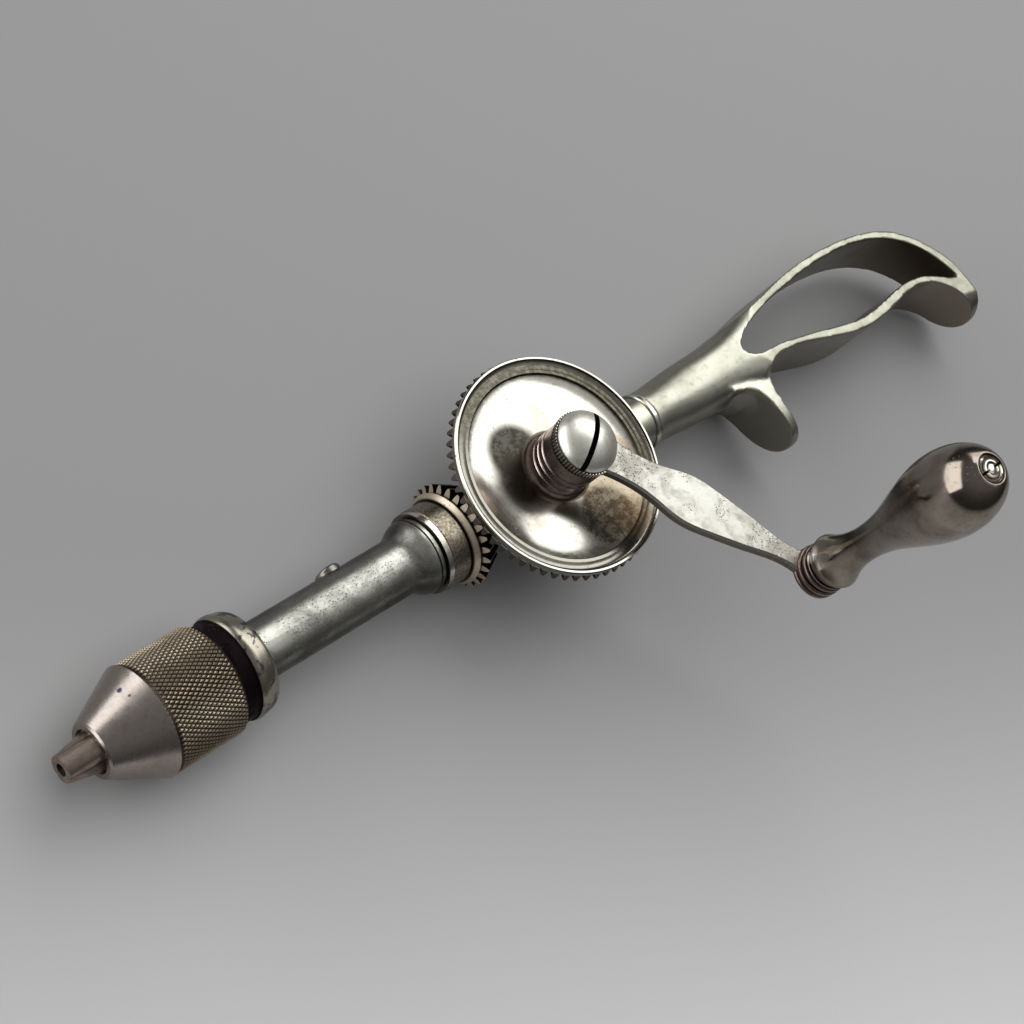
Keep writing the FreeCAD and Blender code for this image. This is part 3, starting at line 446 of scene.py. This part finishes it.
metals = {
    "dishNickel": dict(
        nickel, roughness=0.16, cloud=15, tarnish=0.34, pits=1.6, pitSize=0.30, pitCover=0.42,
        colour=(0.44, 0.43, 0.38), lines=(3, 3, 3), lineRoughness=0.03, smear=0.10, tarnishRoughness=0.14,
        bump=0.1, paintedShadeColour=(0.17, 0.155, 0.12), paintedShadeFacing=(0.3, 0.85), paintedShadeStrength=0.7,
        patches=[
            {"kind": "spot", "centre": (-12, 15, 14), "radius": 11, "soft": 5, "pits": 0.25, "tarnish": 0.40},
            {"kind": "spot", "centre": (-22, 8, 14), "radius": 5, "soft": 4, "pits": 0.2, "tarnish": 0.3},
            {"kind": "spot", "centre": (6, -20, 14), "radius": 8, "soft": 5, "pits": 0.12, "tarnish": 0.0}],
        zones=[
            # the teeth, darkened with painted shade below the rim, with painted black shade in the gaps
            # between them
            {"kind": "along", "axis": "Z", "high": 14.2, "soft": 0.15, "colour": (0.085, 0.068, 0.06),
             "roughness": 0.3, "within": {"kind": "round", "axis": "Z", "low": 28.4}},
            {"kind": "outward", "axis": "Z", "high": 0.6, "colour": black, "roughness": 0.3,
             "within": {"kind": "along", "axis": "Z", "high": 13.9, "soft": 0.05,
                        "within": {"kind": "round", "axis": "Z", "low": 27.5}}},
            # painted shade on the dish's wall, darker still on one half
            {"kind": "round", "axis": "Z", "low": 25.4, "high": 29.0, "soft": 0.5,
             "colour": (0.10, 0.09, 0.065), "strength": 0.6, "roughness": 0.10, "within": dishTop},
            {"kind": "round", "axis": "Z", "low": 25.2, "high": 28.6, "soft": 0.5,
             "colour": (0.055, 0.05, 0.035), "strength": 0.95, "roughness": 0.06, "mottle": 0.25,
             "within": {"kind": "across", "normal": (-0.62, -0.78, 0), "low": 0, "soft": 9,
                        "within": dishTop}},
            # dark patches beside the hub, a painted reflection of the hub; dark and brown ones under the arm,
            # stains that also carry a painted reflection of the arm
            dict(dishSpot, centre=(8.6, -8.4, 14), radius=7.9, colour=(0.018, 0.016, 0.012),
                 strength=0.98, roughness=0.10, mottle=0.06),
            dict(dishSpot, centre=(12.0, -1.5, 14), radius=7.2, soft=2.6, colour=(0.028, 0.025, 0.019),
                 strength=0.95, roughness=0.06, mottle=0.06),
            dict(dishSpot, centre=(-5.0, 18.0, 14), radius=8.6, colour=(0.055, 0.042, 0.026),
                 strength=0.95, roughness=0.18, mottle=0.4),
            dict(dishSpot, centre=(-12.0, 21.0, 14), radius=5.0, soft=2.0, colour=(0.13, 0.085, 0.045),
                 strength=0.7, roughness=0.2, mottle=0.5),
            # painted shade in the crease round the hub's foot
            {"kind": "round", "axis": "Z", "high": 10.1, "soft": 0.25, "colour": paintedShadeBrown, "strength": 0.9,
             "roughness": 0.25}]),
    "domeNickel": dict(
        nickel, roughness=0.40, cloud=7, tarnish=0.36, pits=2.2, pitSize=0.25, pitCover=0.42,
        lines=(3, 3, 3), lineRoughness=0.06, smear=0.14, bump=0.1, colour=(0.76, 0.75, 0.67),
        stain=(0.36, 0.34, 0.26), paintedShadeColour=(0.34, 0.33, 0.28), paintedShadeFacing=(0.0, 0.5), paintedShadeStrength=0.15,
        # painted shade: the screw's slot is black
        zones=[{"kind": "across", "normal": (-math.sin(slotAngle), math.cos(slotAngle), 0), "low": -0.74,
                "high": 0.74, "soft": 0.03, "colour": black, "roughness": 0.5}]),
    "armNickel": dict(
        nickel, roughness=0.36, cloud=4, tarnish=0.40, pits=2.1, pitSize=0.48, pitCover=0.48,
        stainStrength=0.5, lines=(4, 4, 4), colour=(0.425, 0.42, 0.38), stain=(0.28, 0.25, 0.20),
        paintedShadeColour=(0.09, 0.07, 0.055), paintedShadeFacing=(-0.1, 0.5),
        patches=[
            {"kind": "round", "axis": "Z", "high": 19, "soft": 7, "pits": 0.24, "tarnish": 0.14},
            {"kind": "round", "axis": "Z", "low": 54, "soft": 8, "pits": 0.16, "tarnish": 0.14}],
        # painted shade: the eye's side, between the ribs of the reeding, is dark brown
        zones=[{"kind": "round", "axis": "Z", "high": 8.66, "soft": 0.05, "colour": paintedShadeBrown,
                "strength": 0.9, "within": {"kind": "along", "axis": "Z", "high": 29.5}}]),
    "castNickel": dict(
        nickel, roughness=0.32, cloud=22, tarnish=0.32, pits=1.5, pitSize=0.28, pitCover=0.38,
        lines=(0.3, 3, 3), lineRoughness=0.05, colour=(0.45, 0.45, 0.38), stain=(0.24, 0.23, 0.175),
        softness=0.3, bump=0.2, paintedShadeColour=(0.21, 0.195, 0.16), paintedShadeFacing=(0.3, 0.97), paintedShadeStrength=0.9,
        zones=[
            # painted light: sideways faces at the tail get a lighter brown than the painted shade elsewhere,
            # as if light reached into the arch
            {"kind": "along", "axis": "X", "high": -150, "soft": 12, "colour": (0.27, 0.225, 0.18),
             "strength": 0.7, "within": {"kind": "facing", "axis": "Z", "high": 0.5}},
            # painted shade: faces that look up on the straps and tail are darker and mottled, to dim the key
            # light's reflection
            {"kind": "along", "axis": "X", "high": -90, "soft": 8, "colour": (0.21, 0.21, 0.155),
             "strength": 0.62, "mottle": 0.3,
             "within": {"kind": "facing", "axis": "Z", "low": 0.6, "soft": 0.2}}]),
    "ringNickel": dict(
        nickel, roughness=0.20, cloud=8, tarnish=0.42, pits=2.0, pitSize=0.3, pitCover=0.45,
        lines=(6, 0.5, 0.5), lineDepth=0.8, paintedShadeColour=(0.12, 0.10, 0.08), paintedShadeFacing=(0.0, 0.7)),
    "tubeNickel": dict(
        nickel, roughness=0.30, cloud=9, tarnish=0.46, pits=2.1, pitSize=0.46, pitCover=0.60, patch=9,
        lines=(5, 0.6, 0.6), colour=(0.43, 0.43, 0.385), stain=(0.165, 0.16, 0.145), lineRoughness=0.2,
        pitDark=0.7, paintedShadeColour=(0.035, 0.033, 0.03), paintedShadeFacing=(0.35, 0.985), paintedShadeStrength=0.92,
        # painted shade: a black band where the tube meets the ring
        zones=[{"kind": "along", "axis": "X", "low": 42.4, "high": 42.9, "soft": 0.12, "colour": black,
                "roughness": 0.3}]),
    "noseNickel": dict(
        nickel, roughness=0.27, cloud=12, tarnish=0.38, pits=0.42, pitSize=0.34, pitCover=0.40, patch=9,
        lines=(4, 0.5, 0.5), colour=(0.345, 0.305, 0.275), stain=(0.21, 0.175, 0.15),
        dirt=(0.035, 0.02, 0.045), pitDark=0.9, paintedShadeColour=(0.27, 0.23, 0.195), paintedShadeFacing=(0.05, 0.75),
        paintedShadeStrength=0.75,
        zones=[
            {"kind": "spot", "centre": centre, "radius": radius, "soft": 0.18, "colour": (0.04, 0.02, 0.06),
             "strength": 0.9, "roughness": 0.2}
            for centre, radius in noseSpots]),
    "collarNickel": dict(
        nickel, roughness=0.30, cloud=3.4, tarnish=0.44, softness=0.035, pits=1.2, pitSize=0.45, pitCover=0.5,
        lines=(6, 0.5, 0.5), stain=(0.05, 0.032, 0.05), colour=(0.31, 0.29, 0.235), stainStrength=0.9,
        paintedShadeColour=(0.14, 0.125, 0.09), paintedShadeFacing=(-0.1, 0.7),
        zones=[
            {"kind": "along", "axis": "X", "low": 103.75, "high": 118, "soft": 0.12,
             "colour": (0.014, 0.009, 0.011), "roughness": 0.4},
            # painted shade: a black band at the collar's rear edge
            {"kind": "along", "axis": "X", "low": 97.0, "high": 97.95, "soft": 0.12, "colour": black,
             "roughness": 0.4}]),
    "gearTan": dict(
        nickel, roughness=0.40, cloud=6, tarnish=0.40, pits=2.0, pitSize=0.4, pitCover=0.5,
        lines=(2, 2, 2), colour=(0.56, 0.48, 0.38), stain=(0.33, 0.25, 0.17),
        zones=[
            # painted shade: black on the teeth's faces that don't look forward, in the gaps between them
            {"kind": "facing", "axis": "X", "high": 0.6, "colour": black, "strength": 0.97,
             "within": {"kind": "along", "axis": "X", "high": 31.8, "soft": 0.05}},
            dict(pinionHub, colour=(0.27, 0.25, 0.19), roughness=-0.10),
            # painted shade: the hub's faces that don't look up are darker
            dict(pinionHub, colour=(0.25, 0.205, 0.155), strength=0.9, mottle=0.3,
                 within={"kind": "facing", "axis": "Z", "high": 0.62, "soft": 0.3}),
            dict(pinionHub, colour=(0.12, 0.09, 0.065), strength=0.8, mottle=1.0),
            # painted shade in the crease where the teeth meet the hub
            {"kind": "along", "axis": "X", "low": 33.1, "high": 33.9, "soft": 0.25,
             "colour": (0.05, 0.035, 0.03), "strength": 0.85}]),
    "hubBronze": dict(
        nickel, roughness=0.20, cloud=6, tarnish=0.5, pits=2.0, pitSize=0.35, pitCover=0.5,
        lines=(0.4, 0.4, 5), colour=(0.66, 0.55, 0.50), stain=(0.22, 0.14, 0.12), lineDepth=0.8,
        zones=[
            # painted shade in the turned grooves and at the hub's foot
            {"kind": "round", "axis": "Z", "high": 8.58, "soft": 0.1, "colour": (0.03, 0.018, 0.016),
             "strength": 0.8},
            {"kind": "along", "axis": "Z", "high": 15.3, "soft": 0.3, "colour": (0.035, 0.022, 0.018),
             "strength": 0.6}]),
    "reedNickel": dict(
        nickel, roughness=0.28, cloud=6, tarnish=0.45, pits=2.0, pitSize=0.3, pitCover=0.4,
        lines=(3, 3, 3), colour=(0.85, 0.76, 0.72), stainStrength=0.3,
        # painted shade: black between the ribs
        zones=[{"kind": "round", "axis": "Z", "high": 8.68, "soft": 0.06, "colour": black,
                "roughness": 0.3}]),
    "knurlSteel": dict(
        nickel, roughness=0.36, cloud=9, tarnish=0.44, pits=1.5, pitSize=0.3, pitCover=0.5,
        lines=(2, 2, 2), colour=(0.50, 0.425, 0.315), stain=(0.27, 0.20, 0.135), lineDepth=0.1,
        paintedShadeColour=(0.125, 0.085, 0.06), paintedShadeFacing=(-0.2, 0.85), paintedShadeStrength=0.72,
        # painted shade: dark between the diamonds
        zones=[{"kind": "round", "axis": "X", "high": 14.11, "soft": 0.10, "colour": (0.035, 0.026, 0.02),
                "strength": 0.93}]),
    "jawSteel": dict(
        nickel, roughness=0.36, cloud=6, tarnish=0.5, pits=1.4, pitSize=0.3, pitCover=0.5,
        lines=(0.5, 4, 4), colour=(0.36, 0.30, 0.25), stain=(0.18, 0.13, 0.10),
        # painted shade in the bore between the jaws' tips
        zones=[{"kind": "round", "axis": "X", "high": 1.7, "soft": 0.1, "colour": paintedShadeBrown,
                "strength": 0.8}]),
    "knobPewter": dict(
        nickel, centre=knobAxis, roughness=0.12, cloud=12, tarnish=0.48, pits=1.2, pitSize=0.34,
        pitCover=0.48, lines=(0.5, 0.5, 4), colour=(0.265, 0.23, 0.195), stain=(0.12, 0.09, 0.07),
        smear=0.10, tarnishRoughness=0.12, bump=0.12,
        zones=[
            {"kind": "along", "axis": "Z", "high": 7.2, "soft": 0.4, "colour": (0.175, 0.13, 0.115),
             "roughness": 0.08},
            # painted shade: black in the grooves between the foot's beads
            {"kind": "round", "axis": "Z", "high": 6.5, "soft": 0.12, "colour": black, "roughness": 0.3,
             "within": {"kind": "along", "axis": "Z", "high": 4.6, "soft": 0.05}},
            # painted highlight: a pale spot on the knob's foot
            {"kind": "spot", "centre": (4.9, -4.9, 6.0), "radius": 2.3, "soft": 0.7,
             "colour": (0.95, 0.88, 0.82), "strength": 0.85, "mottle": 0.3}]),
    "knobRing": dict(
        nickel, centre=knobAxis, roughness=0.24, cloud=6, tarnish=0.5, pits=2.0, pitSize=0.3, pitCover=0.45,
        lines=(0.5, 0.5, 6), colour=(0.25, 0.19, 0.165), stain=(0.11, 0.07, 0.058),
        # painted shade: black between the beads
        zones=[{"kind": "round", "axis": "Z", "high": 6.65, "soft": 0.14, "colour": black,
                "strength": 0.96}]),
    "knobScrew": dict(
        nickel, centre=knobAxis, roughness=0.16, cloud=5, tarnish=0.4, pits=2.4, pitSize=0.3, pitCover=0.45,
        lines=(3, 3, 3), colour=(0.50, 0.47, 0.42),
        zones=[
            # painted shade: black in the two grooves and the slot
            {"kind": "round", "axis": "Z", "low": 2.35, "high": 2.8, "soft": 0.08, "colour": black},
            {"kind": "round", "axis": "Z", "low": 1.25, "high": 1.6, "soft": 0.08, "colour": black},
            {"kind": "across", "normal": (0, 1, 0), "low": -0.33, "high": 0.33, "soft": 0.04, "colour": black,
             "within": {"kind": "round", "axis": "Z", "low": 1.3, "soft": 0.05}}]),
    "screwNickel": dict(
        nickel, roughness=0.3, cloud=5, tarnish=0.4, pits=2.4, pitSize=0.3, pitCover=0.45,
        lines=(3, 3, 3), colour=(0.20, 0.19, 0.17)),
    "bronze": dict(
        nickel, roughness=0.3, cloud=8, tarnish=0.45, pits=1.5, pitSize=0.3, pitCover=0.45,
        lines=(3, 3, 3), colour=(0.56, 0.38, 0.20), stain=(0.30, 0.18, 0.09)),
}
paint = {name: wornMetal(name, look) for name, look in metals.items()}
print("materials:", len(paint))

finishes = {
    "dishNickel": ["drive_gear"],
    "domeNickel": ["crank_screw"],
    "armNickel": ["crank_arm"],
    "castNickel": ["handle_casting", "bearing_frame"],
    "ringNickel": ["neck_ring", "grip_washer"],
    "tubeNickel": ["grip_tube"],
    "noseNickel": ["chuck_body"],
    "collarNickel": ["chuck_collar"],
    "gearTan": ["pinion_gear"],
    "hubBronze": ["gear_hub"],
    "knurlSteel": ["chuck_sleeve", "split_nut"],
    "jawSteel": ["jaw_1", "jaw_2", "jaw_3", "tang_pin", "thrust_ball", "gear_axle", "knob_spindle",
                 "spindle_shaft", "pinion_key", "chuck_washer"],
    "knobPewter": ["crank_knob"],
    "knobRing": ["knob_washer"],
    "screwNickel": ["grip_screw", "rear_screw", "rear_washer"],
    "knobScrew": ["knob_screw"],
    "bronze": ["axle_bush", "axle_washer", "spindle_bush", "pinion_washer", "grip_rear_bush",
               "grip_front_bush"],
}


def finish(piece, material):
    piece.data.materials.clear()
    piece.data.materials.append(paint[material])


for material, names in finishes.items():
    for name in names:
        finish(frame["nodes"][name], material)

# The handle casting: a copy of its solid is remeshed and relaxed, so that every edge is worn round

handle = {"voxel": 0.33 * mm, "smoothing": 0.5, "relax": 8, "keep": 0.66}
# in millimetres: the swelling's centre from the crossing, its radii, and each smoothing's reach and count
hookRoot = {"centre": (-78.8, 8.6, 0.0), "radii": (5.4, 4.2, 7.4),
            "passes": [((12, 10, 15), 16), ((9.5, 7.5, 9.5), 20), ((8.6, 6.7, 7.0), 150)]}


def fillHookRoot(piece):
    # a swelling that fills the corner between the stem and the hook
    deselectAll()
    radii = [radius * mm for radius in hookRoot["radii"]]
    bpy.ops.mesh.primitive_uv_sphere_add(segments=48, ring_count=24, radius=1.0, scale=radii,
                                         location=fromCrossing(*hookRoot["centre"]))
    swelling = settle(bpy.context.object)
    pick(piece)
    swelling.select_set(True)
    bpy.ops.object.join()


def relaxHookRoot(piece):
    centre = fromCrossing(*hookRoot["centre"])
    for reach, repeat in hookRoot["passes"]:
        radii = [radius * mm for radius in reach]
        selectVertices(piece, lambda place: sum(
            ((place[axis] - centre[axis]) / radii[axis]) ** 2 for axis in range(3)) < 1)
        bpy.ops.mesh.vertices_smooth(factor=handle["smoothing"], repeat=repeat)
        bpy.ops.object.mode_set(mode="OBJECT")


def makeHandle():
    piece = copyOfNode("handle_casting", "handleCasting")
    fillHookRoot(piece)
    applyModifier(piece, "REMESH", mode="VOXEL", voxel_size=handle["voxel"], use_smooth_shade=True)
    applyModifier(piece, "SMOOTH", factor=handle["smoothing"], iterations=handle["relax"])
    relaxHookRoot(piece)
    applyModifier(piece, "DECIMATE", decimate_type="COLLAPSE", ratio=handle["keep"])
    finish(piece, "castNickel")
    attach(piece, "frame")
    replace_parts(piece, "handle_casting")
    print("handle casting:", len(piece.data.polygons), "faces")


makeHandle()

# The knurled sleeve: a barrel of small pyramids in diamond order, with a narrow chamfer at its rear

knurl = {"around": 73, "rings": 20, "foot": 13.96 * mm, "tip": 14.39 * mm, "rearDrop": 0.6 * mm,
         "bore": 13.0 * mm, "edgeReach": 0.01 * mm}


def makeKnurledSleeve():
    low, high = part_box("chuck_sleeve")
    length = high.x - low.x
    rings = knurl["rings"]
    step = length / rings
    deselectAll()
    bpy.ops.mesh.primitive_cylinder_add(vertices=2 * knurl["around"], radius=knurl["foot"], depth=length,
                                        end_fill_type="NOTHING", location=((low.x + high.x) / 2, 0, 0),
                                        rotation=(0, math.pi / 2, 0))
    piece = bpy.context.object
    piece.name = "knurledSleeve"
    settle(piece)
    bpy.ops.object.mode_set(mode="EDIT")
    bpy.ops.mesh.select_mode(type="EDGE")
    bpy.ops.mesh.select_all(action="DESELECT")
    bpy.ops.object.mode_set(mode="OBJECT")
    # only the lengthwise edges are cut, into rings
    for edge in piece.data.edges:
        ends = [piece.data.vertices[index].co.x for index in edge.vertices]
        edge.select = abs(ends[0] - ends[1]) > length / 2
    bpy.ops.object.mode_set(mode="EDIT")
    bpy.ops.mesh.subdivide(number_cuts=rings - 1)
    bpy.ops.object.mode_set(mode="OBJECT")

    def isTip(place):
        turn = round(math.atan2(place.z, place.y) / math.pi * knurl["around"])
        row = round((place.x - low.x) / step)
        return (turn + row) % 2 == 1 and 0 < row < rings

    selectVertices(piece, isTip)
    grow = knurl["tip"] / knurl["foot"]
    bpy.ops.transform.resize(value=(1, grow, grow), center_override=(0, 0, 0))
    bpy.ops.mesh.select_all(action="SELECT")
    bpy.ops.mesh.quads_convert_to_tris(quad_method="SHORTEST_DIAGONAL")
    # the rear edge turns in to a narrow chamfer, and both ends close on the bore
    for edgeX, drop in ((low.x, knurl["rearDrop"]), (high.x, 0.0)):
        selectVertices(piece, lambda place: abs(place.x - edgeX) < knurl["edgeReach"])
        if drop:
            shrink = (knurl["foot"] - drop) / knurl["foot"]
            bpy.ops.transform.resize(value=(1, shrink, shrink), center_override=(0, 0, 0))
        bpy.ops.mesh.extrude_region_move()
        shrink = knurl["bore"] / (knurl["foot"] - drop)
        bpy.ops.transform.resize(value=(1, shrink, shrink), center_override=(0, 0, 0))
        bpy.ops.object.mode_set(mode="OBJECT")
    pick(piece)
    bpy.ops.object.mode_set(mode="EDIT")
    bpy.ops.mesh.select_all(action="SELECT")
    bpy.ops.mesh.normals_make_consistent(inside=False)
    bpy.ops.object.mode_set(mode="OBJECT")
    finish(piece, "knurlSteel")
    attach(piece, "sleeve")
    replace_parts(piece, "chuck_sleeve")
    print("knurled sleeve:", len(piece.data.polygons), "faces")


makeKnurledSleeve()

# The reeded edge of the arm's eye

reeding = {"ribs": 60, "foot": 8.3 * mm, "tip": 9.0 * mm, "bottom": 27.7 * mm, "top": 29.7 * mm}


def makeReeding():
    deselectAll()
    depth = reeding["top"] - reeding["bottom"]
    bpy.ops.mesh.primitive_cylinder_add(vertices=2 * reeding["ribs"], radius=reeding["foot"], depth=depth,
                                        location=(crossing.x, crossing.y, reeding["bottom"] + depth / 2))
    piece = bpy.context.object
    piece.name = "eyeReeding"
    settle(piece)

    def isRib(place):
        turn = round(math.atan2(place.y - crossing.y, place.x - crossing.x) / math.pi * reeding["ribs"])
        return turn % 2 == 1

    selectVertices(piece, isRib)
    grow = reeding["tip"] / reeding["foot"]
    bpy.ops.transform.resize(value=(grow, grow, 1), center_override=tuple(crossing))
    bpy.ops.object.mode_set(mode="OBJECT")
    finish(piece, "reedNickel")
    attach(piece, "crank")


makeReeding()
print("reeded eye")

# The knob: a pear with a rolled end, turned beads at its foot, and a ringed screw in its end

# (radius, height) in millimetres, from the foot up and over the top into the middle
pear = [(6.0, 31.3), (6.5, 31.4), (6.9, 31.75), (6.95, 32.3), (6.7, 32.75), (6.05, 32.9), (6.0, 33.05),
        (6.45, 33.2), (6.7, 33.5), (6.65, 33.95), (6.3, 34.15), (5.9, 34.25), (5.9, 34.4), (6.35, 34.5),
        (6.6, 34.75), (7.3, 36.5), (7.5, 36.95), (7.3, 37.5), (6.3, 39.6), (5.0, 43.6), (4.25, 50.3),
        (5.3, 59.5), (7.9, 67.3), (10.55, 76.5), (11.3, 82.8), (10.9, 88.4), (9.3, 93.4), (7.1, 96.7),
        (5.0, 98.5), (4.0, 98.95), (3.75, 98.6), (3.7, 97.3)]
footBeads = [(5.8, 27.1), (6.6, 27.3), (7.05, 27.7), (7.1, 28.3), (6.8, 28.7), (6.1, 28.85), (6.1, 29.1),
             (6.85, 29.3), (7.1, 29.7), (7.1, 30.3), (6.85, 30.65), (6.15, 30.8), (6.1, 31.15)]
endScrew = [(3.5, 97.6), (3.5, 98.6), (3.15, 98.9), (2.8, 98.4), (2.35, 98.4), (2.2, 98.95), (1.85, 99.0),
            (1.6, 98.5), (1.25, 98.5), (1.1, 98.9), (0.7, 99.0), (0.3, 99.0)]


def makeKnobPiece(name, profile, material, body, sharp):
    # sharp is the angle in degrees above which edges stay sharp, and 0 rounds the piece instead
    piece = turnOnAxle(name, knobAxis, [(radius * mm, height * mm) for radius, height in profile])
    pick(piece)
    if sharp:
        bpy.ops.object.shade_smooth_by_angle(angle=math.radians(sharp))
    else:
        applyModifier(piece, "SUBSURF", levels=2)
        bpy.ops.object.shade_smooth()
    finish(piece, material)
    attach(piece, body)
    return piece


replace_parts(makeKnobPiece("pearKnob", pear, "knobPewter", "knob", 0), "crank_knob")
makeKnobPiece("knobFootBeads", footBeads, "knobRing", "crank", 50)
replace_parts(makeKnobPiece("knobEndScrew", endScrew, "knobScrew", "crank", 40), "knob_screw")
print("knob, foot beads and end screw")

# Floor, light and camera

view = {"place": (0.171592, 0.035013, 0.427758), "right": (-0.690539, 0.555769, 0.462900),
        "up": (-0.420078, -0.829151, 0.368840), "lens": 71.75, "sensor": 36.0}

floorPlate = {"size": 5.0, "far": 0.245, "near": 0.575, "fadeFrom": 0.0, "fadeTo": 0.21,
              "gap": 0.05 * mm, "roughness": 0.9, "specular": 0.2}


def makeFloor():
    deselectAll()
    bottom = cadBox[0][2] - floorPlate["gap"]
    bpy.ops.mesh.primitive_plane_add(size=floorPlate["size"], location=(0, 0, bottom))
    plate = bpy.context.object
    plate.name = "floor"
    settle(plate)
    material = bpy.data.materials.new("paleFloor")
    material.use_nodes = True
    tree = material.node_tree
    shader = tree.nodes["Principled BSDF"]
    moved = addNode(tree, "ShaderNodeVectorMath", {
        0: addNode(tree, "ShaderNodeTexCoord").outputs["Object"], 1: tuple(crossing)}, operation="SUBTRACT")
    # painted light: paler towards the camera, along the floor
    towards = (-view["up"][0], -view["up"][1], 0)
    along = addNode(tree, "ShaderNodeVectorMath", {0: moved.outputs[0], 1: towards}, operation="DOT_PRODUCT")
    near = smoothNode(tree, along.outputs["Value"], floorPlate["fadeFrom"], floorPlate["fadeTo"])
    far, close = ((floorPlate[end],) * 3 + (1,) for end in ("far", "near"))
    tree.links.new(mixColour(tree, near, far, close), shader.inputs["Base Color"])
    shader.inputs["Roughness"].default_value = floorPlate["roughness"]
    shader.inputs["Specular IOR Level"].default_value = floorPlate["specular"]
    plate.data.materials.append(material)


# azimuth from +X towards +Y and elevation in degrees, distance and size in metres
softboxes = [
    {"name": "keySoftbox", "azimuth": -150, "elevation": 46, "distance": 0.95, "size": (1.05, 0.68),
     "power": 6.6, "mirrored": True},
    {"name": "sideSoftbox", "azimuth": -42, "elevation": 18, "distance": 1.6, "size": (2.7, 0.9),
     "power": 22.0, "mirrored": True},
    {"name": "topSoftbox", "azimuth": 145, "elevation": 62, "distance": 1.2, "size": (0.8, 0.8),
     "power": 0.9, "mirrored": True},
    {"name": "floorFill", "azimuth": 0, "elevation": 90, "distance": 1.2, "size": (1.3, 1.3),
     "power": 8.0, "mirrored": False},
]


def makeLights():
    for box in softboxes:
        deselectAll()
        turn, rise = math.radians(box["azimuth"]), math.radians(box["elevation"])
        away = Vector((math.cos(rise) * math.cos(turn), math.cos(rise) * math.sin(turn), math.sin(rise)))
        bpy.ops.object.light_add(type="AREA", location=crossing + away * box["distance"])
        lamp = bpy.context.object
        lamp.name = box["name"]
        lamp.data.shape = "RECTANGLE"
        lamp.data.size, lamp.data.size_y = box["size"]
        lamp.data.energy = box["power"]
        lamp.rotation_euler = (-away).to_track_quat("-Z", "Y").to_euler()
        lamp.visible_glossy = box["mirrored"]


sky = {"low": 0.05, "high": 0.26, "riseFrom": 0.05, "riseTo": 0.95, "strength": 1.0}


def makeSky():
    world = bpy.data.worlds.new("studioSky")
    bpy.context.scene.world = world
    world.use_nodes = True
    tree = world.node_tree
    back = tree.nodes["Background"]
    ray = addNode(tree, "ShaderNodeTexCoord").outputs["Generated"]
    upward = addNode(tree, "ShaderNodeSeparateXYZ", {0: ray}).outputs["Z"]
    rise = smoothNode(tree, upward, sky["riseFrom"], sky["riseTo"])
    low, high = ((sky[end],) * 3 + (1,) for end in ("low", "high"))
    tree.links.new(mixColour(tree, rise, low, high), back.inputs["Color"])
    back.inputs["Strength"].default_value = sky["strength"]


def makeCamera():
    deselectAll()
    bpy.ops.object.camera_add()
    camera = bpy.context.object
    right = Vector(view["right"]).normalized()
    up = Vector(view["up"])
    up = (up - right * up.dot(right)).normalized()
    back = right.cross(up)
    camera.matrix_world = Matrix((right, up, back)).transposed().to_4x4()
    camera.location = view["place"]
    camera.data.sensor_width = view["sensor"]
    camera.data.lens = view["lens"]
    bpy.context.scene.camera = camera


makeFloor()
makeLights()
makeSky()
makeCamera()
bpy.context.scene.view_settings.view_transform = "Standard"
print("floor, lights, camera")
